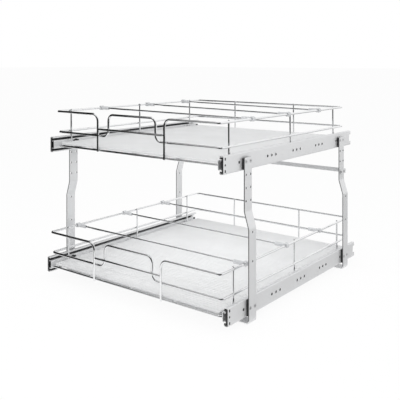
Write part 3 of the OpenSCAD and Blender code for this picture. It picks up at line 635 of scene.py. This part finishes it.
def sheetOutline(upper, thickness):  # a rolled sheet, from the upper half of its middle line, web first
    path = [Vector((p.x, -p.y, 0)) for p in reversed(upper)] + upper
    outs = [outwards(path, index) * thickness / 2 for index in range(len(path))]
    outer = [(point + out)[:2] for point, out in zip(path, outs)]
    inner = [(point - out)[:2] for point, out in zip(path, outs)]
    return outer + inner[::-1]


def arcPath(centre, radius, start, end, steps):
    angles = [radians(start + (end - start) * i / steps) for i in range(steps + 1)]
    return [Vector((centre[0] + radius * cos(angle), centre[1] + radius * sin(angle), 0)) for angle in angles]


def alongSlide(section, tier, start, end):  # right-hand side, u runs inwards from the slide's face
    return extruded(section, end - start, lambda u, w, t: inFrame(
        tier["face"] - u, start + t, tier["middle"] + w))


members = {
    "outer": {"web": 0.6, "flange": 16.9, "bend": 1.4, "ball": (6.4, 14.65), "race": 2.25},
    "middle": {"web": 2.95, "crown": 13.45, "bend": 1.05, "race": 2.2, "end": 9.0},
    "inner": {"web": 12.1, "flange": 9.0, "bend": 1.4, "ball": (6.9, 10.25), "race": 2.25},
}


def outerSection():
    part = members["outer"]
    corners = ((part["web"], 0, 0), (part["web"], part["flange"], part["bend"]),
               (part["ball"][0], part["flange"], 0))
    bend = bentPath([(Vector((u, w, 0)), radius) for u, w, radius in corners], steps=5)[1:-1]
    return sheetOutline(bend + arcPath(part["ball"], part["race"], 90, 0, 7), slide["sheet"])


def middleSection():
    part, ball = members["middle"], members["outer"]["ball"]
    bend = arcPath((part["web"] + part["bend"], part["crown"] - part["bend"]), part["bend"], 180, 90, 5)
    race = arcPath(ball, part["race"], 228, 312, 8)
    edge = Vector((part["end"], part["crown"], 0))
    return sheetOutline(bend + race + [edge], slide["middleSheet"])


def innerSection():
    part = members["inner"]
    bend = arcPath((part["web"] - part["bend"], part["flange"] - part["bend"]), part["bend"], 0, 90, 6)
    race = arcPath(part["ball"], part["race"], -33.75, -140, 9)
    return sheetOutline(bend + race, slide["sheet"])


def slideBores(tier):
    holes = {"bore": 5.6, "single": (52, 468), "groups": (171, 275, 379), "step": 16, "screwBore": 4.5,
             "windowBore": 4.0, "windowDepth": 6.0, "windowRises": (-11.5, 11.5),
             "window": (3.6, 5.0, 0.7), "notch": (16.0, 17.0, 2.5), "cutter": 8.0}
    rows = [(holes["bore"], y) for y in holes["single"]]
    rows += [(holes["bore"], y + step * holes["step"]) for y in holes["groups"] for step in (-1, 0, 1)]
    rows += [(holes["screwBore"], y + step) for y in strapDepths for step in pairSteps]
    rows.append((holes["windowBore"], holes["windowDepth"]))
    face, middle, depth = tier["face"], tier["middle"], holes["cutter"]
    window, notch = (extruded(rounded(*form), depth, lambda a, b, t: Vector((t - depth / 2, a, b)) * mm)
                     for form in (holes["window"], holes["notch"]))
    windows = [spot(face, holes["windowDepth"], middle + rise) for rise in holes["windowRises"]]
    return joined([copies(unitCutter(20), [boreAcross(face, y, middle, bore, length=6) for bore, y in rows]),
                   copies(window, windows), copies(notch, [spot(face, slide["length"], middle)])])


for name, tier in tiers.items():
    built = {
        "outer": punched(alongSlide(outerSection(), tier, 0, slide["length"]), slideBores(tier)),
        "middle": alongSlide(middleSection(), tier, slide["middleStart"], slide["memberEnd"]),
        "inner": punched(alongSlide(innerSection(), tier, 0, slide["memberEnd"]),
                         tabBores(tier, tier["inside"], length=4)),
    }
    for member, mesh in built.items():
        right = eased(mesh, 0.12, 60)
        finish = "darkSteel" if member == "middle" else "slideZinc"
        for sideName, sided in (("left", moved(right, mirrorX)), ("right", right)):
            fitPiece(f"{name}_{sideName}_{member}_member", sided, finish,
                     f"{name}_{sideName}_{member}_rail", angle=40, level=True)


def ballRowsMesh(tier, ballPlace):
    ball = {"diameter": 3.0, "pitch": 24.0, "count": 8, "middle": 265.0}
    bead = bpy.data.meshes.new("bead")
    shell = bmesh.new()
    bmesh.ops.create_uvsphere(shell, u_segments=16, v_segments=10, radius=ball["diameter"] / 2 * mm)
    shell.to_mesh(bead)
    shell.free()
    first = ball["middle"] - (ball["count"] - 1) / 2 * ball["pitch"]
    rows = [first + index * ball["pitch"] for index in range(ball["count"])]
    return copies(bead, [spot(side * (tier["face"] - ballPlace[0]), y, tier["middle"] + edge * ballPlace[1])
                         for side in sides for edge in sides for y in rows])


def frontClipsMesh(tier):  # black clips on the front ends of the middle members
    clip = {"half": 10.5, "start": 0.5, "cap": 1.2, "groove": (1.3, -13.3, -166.7), "capStart": 9.5,
            "slab": ((1.5, 0.5), (4.5, 0.5), (4.5, 3.5), (3.6, 3.5), (3.6, 1.9), (2.3, 1.9), (2.3, 9.0),
                     (1.5, 9.0)),
            "leg": (2.05, 3.85), "reach": 9.0, "foot": 11.55, "top": 14.35}
    right = [extruded(clip["slab"], 2 * clip["half"], lambda u, y, t: inFrame(
        tier["face"] - u, y, tier["middle"] - clip["half"] + t))]
    groove = [(p.x, p.y) for p in arcPath(members["outer"]["ball"], *clip["groove"], 9)]
    near, far = clip["leg"]
    reach, foot, top = clip["reach"], clip["foot"], clip["top"]
    cap = [(near, clip["capStart"]), (far, clip["capStart"]), (far, foot), (reach, foot), (reach, top),
           *groove, (near, top)]
    right += [alongSlide([(u, turned * w) for u, w in cap], tier, clip["start"], clip["start"] + clip["cap"])
              for turned in (1, -1)]
    return bothSides(eased(joined(right), 0.2))


def rearBumpersMesh():  # forked blocks
    bumper = {"start": 532.0, "depth": 8.0, "outer": 1.2, "inner": 12.2, "half": 6.5, "fork": 5.0,
              "slot": 1.5}
    upper = [(bumper["fork"], bumper["slot"]), (bumper["inner"], bumper["slot"]),
             (bumper["inner"], bumper["half"]), (bumper["outer"], bumper["half"])]
    outline = [(u, -w) for u, w in reversed(upper)] + upper
    blocks = (alongSlide(outline, tier, bumper["start"], bumper["start"] + bumper["depth"])
              for tier in tiers.values())
    return joined([bothSides(eased(block, 0.6, segments=3)) for block in blocks])


fitPiece("rear_stop_blocks", rearBumpersMesh(), "blackPlastic", "closing_bumpers")
for name, tier in tiers.items():
    fitPiece(f"{name}_front_clips", frontClipsMesh(tier), "blackPlastic", f"{name}_front_bumpers")
    for row in ("outer", "inner"):
        fitPiece(f"{name}_{row}_ball_rows", ballRowsMesh(tier, members[row]["ball"]), "ballSteel",
                 f"{name}_{row}_balls")
        cageMaterials = frame["nodes"][f"{name}_{row}_cages"].data.materials
        cageMaterials.clear()
        cageMaterials.append(finishes["cageSteel"])
print("slides built")


# Baskets: bent wire rails, posts and floor wires

wire = {"rail": 5.0, "post": 4.0, "floor": 3.0, "corner": 8.0, "postBend": 16.0, "frontPost": 96.0,
            "handleLeg": 68.0, "handleFoot": 15.0, "handleBend": 13.0, "gap": 0.05,
            "rim": 15.2, "mid": 47.0, "crossbar": 62.0, "top": 94.5, "tip": 3.5,
            "sidePosts": (45.8, 281.0, 492.2), "floorStart": 27.0, "floorPitch": 24.8, "floorCount": 21,
            "longWires": (-120.0, 0.0, 120.0)}


def basketPlan(tier):  # places that all wires of one basket share
    plan = {key: tier[key] for key in ("front", "rear", "rearPost")}
    plan["x"] = tier["inside"] - wire["rail"] / 2
    plan["inner"] = tier["front"] + wire["rail"] + wire["gap"]
    plan["postX"] = plan["x"] - (wire["rail"] + wire["post"]) / 2 - wire["gap"]
    for height in ("rim", "mid", "crossbar", "top"):
        plan[height] = tier["foot"] + wire[height]
    plan["foot"] = plan["rim"] - wire["rail"] / 2
    plan["tip"] = plan["top"] + wire["tip"]
    plan["floor"] = plan["rim"] + (wire["rail"] + wire["floor"]) / 2 + wire["gap"]
    plan["rearPostY"] = tier["rear"] - (wire["rail"] + wire["post"]) / 2 - wire["gap"]
    plan["floorWires"] = [wire["floorStart"] + wire["floorPitch"] * i for i in range(wire["floorCount"])]
    return plan


def loop(half, closed=True):  # corners of (x, y, z, bend) from the middle outwards, mirrored to the left
    corners = [(Vector((x, y, z)), bend) for x, y, z, bend in half]
    corners += [(Vector((-x, y, z)), bend) for x, y, z, bend in reversed(half)]
    return (bentPath(corners, closed), closed)


def rails(plan):
    bend, leg, post = wire["corner"], wire["handleLeg"], wire["frontPost"]
    x, inner, front, rear = (plan[key] for key in ("x", "inner", "front", "rear"))
    rim, mid, top = (plan[key] for key in ("rim", "mid", "top"))
    return {
        "rim": loop([(x, inner, rim, bend), (x, rear, rim, bend)]),
        "mid": loop([(leg, inner, top, wire["handleBend"]), (leg, inner, mid, wire["handleFoot"]),
                     (x, inner, mid, bend), (x, rear, mid, bend)]),
        "top": loop([(post, front, plan["foot"], 0), (post, front, top, wire["postBend"]),
                     (x, front, top, bend), (x, rear, top, bend)], False),
    }


def straight(start, end):
    return ([Vector(start), Vector(end)], False)


def weldSpots(plan):  # a squashed bead wherever two wires cross
    weld = {"size": 1.7, "spread": 0.18, "seed": 7, "sink": 0.6,
            "onRim": (1.1, 1.3, 0.7), "onLong": (1.2, 1.2, 0.6), "onPost": (0.6, 1.2, 1.2),
            "behind": (1.2, 0.6, 1.2), "onCrossbar": (0.5, 1.3, 1.3)}
    rail, post = wire["rail"] / 2, wire["frontPost"]
    spots = []

    def pair(x, y, z, form):
        spots.extend((side * x, y, z, weld[form]) for side in sides)

    for y in plan["floorWires"]:
        pair(plan["x"] - weld["sink"], y, plan["rim"] + rail * 0.9, "onRim")
        spots += [(x, y, plan["rim"] + rail * 0.95, weld["onLong"]) for x in wire["longWires"]]
    for height in ("rim", "mid", "top"):
        spots += [(side * (plan["postX"] + wire["post"] / 2), y, plan[height], weld["onPost"])
                  for side in sides for y in wire["sidePosts"]]
        pair(plan["rearPost"], plan["rear"] - rail, plan[height], "behind")
    for height in ("rim", "mid"):
        pair(post, plan["front"] + rail, plan[height], "behind")
    pair(wire["handleLeg"], plan["front"] + rail, plan["crossbar"], "behind")
    pair(post - rail, plan["front"], plan["crossbar"], "onCrossbar")
    bead = lathe([(0.30, -0.95), (0.72, -0.66), (1.0, 0.0), (0.72, 0.66), (0.30, 0.95)], 10)
    return copies(bead, [spot(x, y, z, size=tuple(weld["size"] * part for part in squash))
                         for x, y, z, squash in spots], weld["spread"], weld["seed"])


def tabsMesh(plan, tier):
    tab = {"length": 18.0, "height": 9.559, "foot": 2.341, "corner": 3.0}
    half, corner = tab["length"] / 2, tab["corner"]
    arcs = arcPath((half - corner, tab["height"] - corner), corner, 0, 90, 5)
    arcs += arcPath((corner - half, tab["height"] - corner), corner, 90, 180, 5)
    outline = [(-half, 0), (half, 0)] + [(p.x, p.y) for p in arcs]
    face = tier["inside"] - tabs["thickness"]
    plates = [extruded(outline, tabs["thickness"],
                       lambda a, b, t: inFrame(face + t, y + a, plan["rim"] + tab["foot"] + b))
              for y in tabs["places"]]
    return bothSides(eased(punched(joined(plates), tabBores(tier, face, length=6)), 0.2))


def tabScrewsMesh(tier):
    screw = {"shank": 1.75, "grip": 2.7, "head": 3.2, "dome": 1.5, "cross": (1.7, 0.4)}
    dome = [(screw["head"] * cos(radians(a)), screw["dome"] * sin(radians(a)))
            for a in (0, 20, 40, 60, 78)]
    head = lathe([(screw["shank"], -screw["grip"]), (screw["shank"], 0)] + dome, 20)
    reach, half = screw["cross"]
    outline = [(reach, -half), (reach, half), (half, half)]
    for _ in range(3):
        outline += [(-b, a) for a, b in outline[-3:]]
    cross = extruded(outline, screw["dome"], lambda a, b, t: Vector((a, b, screw["dome"] / 2 + t)) * mm)
    face = tier["inside"] - tabs["thickness"]
    return copies(punched(head, cross), [spot(side * face, y, tier["tabHeight"], alongX(-side))
                                         for side in sides for y in tabs["places"]])


def tabCoversMesh(tier):  # black plastic covers on the front tabs, each with a boss over the screw
    cover = {"half": 8.5, "edge": 2.3, "boss": 3.9, "thickness": 2.2, "recess": (3.3, 1.7), "ease": 0.4}
    face, front = tier["inside"] - tabs["thickness"], tabs["places"][0]
    shoulder = degrees(asin(cover["edge"] / cover["boss"]))
    outline = []
    for turned in (1, -1):
        start = -90 * turned
        arcs = arcPath((turned * (cover["half"] - cover["edge"]), 0), cover["edge"], start, start + 180, 8)
        arcs += arcPath((0, 0), cover["boss"], start + 90 + shoulder, start + 270 - shoulder, 8)
        outline += [(p.x, p.y) for p in arcs]
    right = extruded(outline, cover["thickness"],
                     lambda a, b, t: inFrame(face - t, front + a, tier["tabHeight"] + b))
    radius, depth = cover["recess"]
    recess = tabBores(tier, face, 2 * depth, 2 * radius, [front])
    return bothSides(punched(eased(right, cover["ease"], 50, 3), recess))


def linerMesh(plan):  # ribbed sheet with its front edge turned down
    sheet = {"thickness": 1.6, "rib": 0.6, "ribWidth": 1.5, "pitch": 8.0, "fit": 1.0, "rows": 2600,
             "lip": 1.4, "drop": 2.8, "chamfer": 0.5, "overlap": 0.3, "lipInset": 1.0}
    width = 2 * (plan["postX"] - wire["post"] / 2 - sheet["fit"])
    start = plan["inner"] + wire["rail"] / 2
    end = plan["rear"] - wire["rail"] / 2 - wire["post"] - sheet["fit"]
    foot = plan["floor"] + wire["floor"] / 2 + wire["gap"]
    ribs = floor((end - start - sheet["ribWidth"]) / sheet["pitch"])
    top, tip = foot + sheet["overlap"], foot - sheet["drop"]
    profile = [(start, top), (start, tip + sheet["chamfer"]), (start + sheet["chamfer"], tip),
               (start + sheet["lip"], tip), (start + sheet["lip"], top)]
    inset = sheet["lipInset"]
    lip = extruded(profile, width - 2 * inset, lambda a, b, t: inFrame(inset - width / 2 + t, a, b))
    ribbed = linerRule.run(bpy.data.meshes.new("seed"), {
        "Width": width * mm, "Length": (end - start) * mm, "Thickness": sheet["thickness"] * mm,
        "Rows": sheet["rows"], "Rib height": sheet["rib"] * mm, "Rib width": sheet["ribWidth"] * mm,
        "Rib pitch": sheet["pitch"] * mm, "First rib": -ribs * sheet["pitch"] / 2 * mm,
        "Place": tuple(inFrame(0, (start + end) / 2, foot))})
    return joined([ribbed, lip])


for name, tier in tiers.items():
    plan = basketPlan(tier)
    loops, rail, gap = rails(plan), wire["rail"], wire["gap"]
    crossbarEnd = wire["frontPost"] - rail / 2 - gap
    longStart, longEnd = plan["inner"] + rail / 2 + gap, plan["rear"] - rail / 2 - gap
    places = [(side * plan["postX"], y) for side in sides for y in wire["sidePosts"]]
    places += [(side * plan["rearPost"], plan["rearPostY"]) for side in sides]
    crossbar = [straight((-crossbarEnd, plan["front"], plan["crossbar"]),
                         (crossbarEnd, plan["front"], plan["crossbar"]))]
    posts = [straight((*place, plan["foot"]), (*place, plan["tip"])) for place in places]
    crossWires = [straight((-plan["x"], y, plan["floor"]), (plan["x"], y, plan["floor"]))
                  for y in plan["floorWires"]]
    longWires = [straight((x, longStart, plan["rim"]), (x, longEnd, plan["rim"])) for x in wire["longWires"]]
    drawer = f"{name}_drawer"
    for title, node, runs, diameter in (
            ("rim_loop", "rim_wire", [loops["rim"]], rail),
            ("mid_rail_with_handle", "mid_rail", [loops["mid"]], rail),
            ("top_rail_wire", "top_rail", [loops["top"]], rail),
            ("handle_crossbar", "front_crossbar", crossbar, rail),
            ("upright_posts", "basket_posts", posts, wire["post"]),
            ("cross_wires", "floor_cross_wires", crossWires, wire["floor"]),
            ("long_wires", "floor_long_wires", longWires, rail)):
        fitPiece(f"{name}_{title}", wires(runs, diameter), "chromeWire", f"{name}_{node}", angle=60)
    fitPiece(f"{name}_weld_spots", weldSpots(plan), "weldChrome", body=drawer, angle=60)
    fitPiece(f"{name}_fixing_tabs", tabsMesh(plan, tier), "zincPlate", f"{name}_slide_tabs")
    fitPiece(f"{name}_tab_screw_heads", tabScrewsMesh(tier), "screwSteel", f"{name}_tab_screws")
    fitPiece(f"{name}_front_tab_covers", tabCoversMesh(tier), "blackPlastic", body=drawer)
    fitPiece(f"{name}_ribbed_liner", linerMesh(plan), "linerPlastic", f"{name}_floor_liner", angle=50)
print("baskets built")


# Dividers: a rod with a moulded clip at each end

dividerDepths = {  # y at the left and right rail
    "lower": {"front": (80, 80), "middle": (238, 238), "rear": (389, 389)},
    "upper": {"front": (148, 121), "middle": (316, 264), "rear": (468, 406)},
}
clip = {"hook": 11.0, "hookLength": 9.0, "bore": 5.6, "mouth": (4.0, 40, 0.3), "mouthDepth": 20,
        "reach": 27.0, "sleeve": 8.4, "taper": 0.93, "tip": 3, "rodBore": 4.4, "rodEnd": 4.8, "over": 4,
        "grain": 0.45}


def rod(diameter, start, end, count):
    return lathe([(diameter / 2, start), (diameter / 2, end)], count)


def clipMesh(turn):  # hook about the origin with the rail along y, sleeve towards -x
    lengthways = Matrix.Rotation(pi / 2, 4, "X")
    sleeveways = Matrix.Rotation(turn, 4, "Z") @ Matrix.Rotation(-pi / 2, 4, "Y")
    remesh = ("REMESH", {"mode": "VOXEL", "voxel_size": clip["grain"] * mm})
    hook = rod(clip["hook"], -clip["hookLength"] / 2, clip["hookLength"] / 2, 40)
    sleeve = lathe([(clip["sleeve"] / 2 * clip["taper"], clip["reach"]),
                    (clip["sleeve"] / 2, clip["reach"] - clip["tip"]), (clip["sleeve"] / 2, 0.0)], 40)
    mouth = extruded(rounded(*clip["mouth"]), clip["mouthDepth"],
                     lambda a, b, t: Vector((a, b, t - clip["mouthDepth"])) * mm)
    solid = worked(joined([moved(hook, lengthways), moved(sleeve, sleeveways)]), [remesh])
    cut = punched(solid, moved(rod(clip["bore"], -20, 20, 32), lengthways))
    rodBore = rod(clip["rodBore"], clip["rodEnd"], clip["reach"] + clip["over"], 32)
    cut = punched(punched(cut, mouth), moved(rodBore, sleeveways))
    return worked(cut, [remesh, ("SMOOTH", {"factor": 0.5, "iterations": 4})])


for name, tier in tiers.items():
    plan = basketPlan(tier)
    x, top = plan["x"], plan["top"]
    for place, (leftY, rightY) in dividerDepths[name].items():
        turn = atan2(rightY - leftY, 2 * x)
        half = x / cos(turn) - clip["rodEnd"]
        middle = Vector((0, (leftY + rightY) / 2, top))
        away = Vector((cos(turn), sin(turn), 0)) * half
        node = f"{name}_{place}_divider"
        rodWire = wires([straight(middle - away, middle + away)], wire["post"])
        fitPiece(f"{node}_wire", rodWire, "chromeWire", f"{node}_rod", angle=60)
        ends = [spot(x, rightY, top), spot(-x, leftY, top, (0, 0, pi))]
        fitPiece(f"{node}_end_clips", copies(clipMesh(turn), ends), "clipPlastic", f"{node}_clips", angle=60)
print("dividers built")


# Studio: white floor and world, soft lamps, and cards that only reflections see

def surfaced(owner, output, surface):  # gives a material or world one shader in place of its nodes
    owner.use_nodes = True
    sheet = NodeSheet(owner.node_tree)
    sheet.tree.nodes.clear()
    sheet.add(output, {"Surface": surface(sheet)})
    return owner


def plainMaterial(name, surface):
    return surfaced(bpy.data.materials.new(name), "OutputMaterial", surface)


def glow(sheet, shade):
    return sheet.add("Emission", {"Color": (shade, shade, shade, 1), "Strength": 1.0})


def seenDirectly(sheet):  # 1 for camera, glossy and transmission rays
    rays = sheet.add("LightPath")
    return rays.also("Is Camera Ray").maths("MAXIMUM", rays.also("Is Glossy Ray")).maths(
        "MAXIMUM", rays.also("Is Transmission Ray"))


def floorShader(sheet):  # white where it is seen, apart from a light shadow
    look = {"matte": (0.92, 0.92, 0.92, 1), "shadow": 0.09}
    matte = sheet.add("BsdfDiffuse", {"Color": look["matte"]})
    return sheet.add("MixShader", {
        0: seenDirectly(sheet) * (1 - look["shadow"]), 1: matte, 2: glow(sheet, 1)})


def worldShader(sheet):  # dimmer for light that only falls on the object
    return sheet.add("Background", {
        "Color": (1, 1, 1, 1), "Strength": 0.8 + seenDirectly(sheet) * 0.2})


def plane(name, corners, material):
    mesh = meshOf(corners, faces=[(0, 1, 2, 3)])
    mesh.materials.append(material)
    board = placed(name, mesh)
    return board


def card(name, corners, shade):  # a flag that only reflections see
    board = plane(name, corners, plainMaterial(name, lambda sheet: glow(sheet, shade)))
    board.visible_camera = board.visible_diffuse = board.visible_shadow = board.visible_transmission = False


def levelCorners(x, y, z):
    return [(x[0], y[0], z), (x[1], y[0], z), (x[1], y[1], z), (x[0], y[1], z)]


# Cards and flags in m: grey ones lighten the right-hand faces, black ones give the wires dark edges
standing = {  # start, end, height, shade
    "left_flag": ((-1.0, -1.12), (-1.0, 0.6), 2.6, 0.02),
    "camera_flag": ((-0.2, -1.3), (1.3, -1.3), 1.8, 0.03),
    "right_front_flag": ((1.3, -1.3), (1.3, -0.1), 1.8, 0.01),
    "front_flag": ((-4.0, -3.0), (4.0, -3.0), 1.8, 0.03),
}
lying = {  # range of x, range of y, height, shade
    "front_floor_flag": ((-4.0, 4.0), (-3.0, -0.8), 0.002, 0.03),
    "corner_floor_flag": ((0.27, 2.2), (-0.8, -0.30), 0.002, 0.01),
    "left_floor_flag": ((-1.0, -0.20), (-0.8, -0.33), 0.002, 0.03),
    "right_floor_card": ((0.27, 6.0), (-0.29, 6.0), 0.003, 0.90),
    "right_near_card": ((0.27, 0.9), (-0.29, 0.7), 0.004, 0.64),
    "right_rear_card": ((0.3, 0.85), (0.7, 2.6), 0.005, 0.30),
}
plane("studio_floor", levelCorners((-40, 40), (-40, 40), 0), plainMaterial("studioFloor", floorShader))
for name, (start, end, height, shade) in standing.items():
    card(name, [(*start, 0), (*end, 0), (*end, height), (*start, height)], shade)
for name, (x, y, z, shade) in lying.items():
    card(name, levelCorners(x, y, z), shade)

scene.world = surfaced(bpy.data.worlds.new("whiteRoom"), "OutputWorld", worldShader)


def softLamp(name, place, target, size, power):
    lamp = bpy.data.lights.new(name, "AREA")
    lamp.shape = "SQUARE"
    lamp.size = size
    lamp.energy = power
    holder = placed(name, lamp)
    holder.location = place
    holder.rotation_euler = (Vector(target) - Vector(place)).to_track_quat("-Z", "Y").to_euler()
    holder.visible_camera = holder.visible_glossy = False


softLamp("top_lamp", (0.3, -0.4, 2.2), (0, 0, 0.2), size=1.6, power=8)
softLamp("front_lamp", (0.9, -1.7, 0.75), (0, 0, 0.06), size=1.2, power=12)
softLamp("lower_lamp", (0, 0, 0.285), (0, 0, 0), size=0.42, power=0.6)  # between the baskets

view = {"place": (0.9363, -1.2317, 0.5040), "turn": 37.79, "lens": 57.49, "sensor": 36.0, "shift": -0.348}
lens = bpy.data.cameras.new("photo_view")
lens.lens = view["lens"]
lens.sensor_width = view["sensor"]
lens.shift_y = view["shift"]
camera = placed("photo_view", lens)
camera.location = view["place"]
camera.rotation_euler = (radians(90), 0, radians(view["turn"]))
scene.camera = camera
scene.view_settings.view_transform = "Standard"
print("studio set")
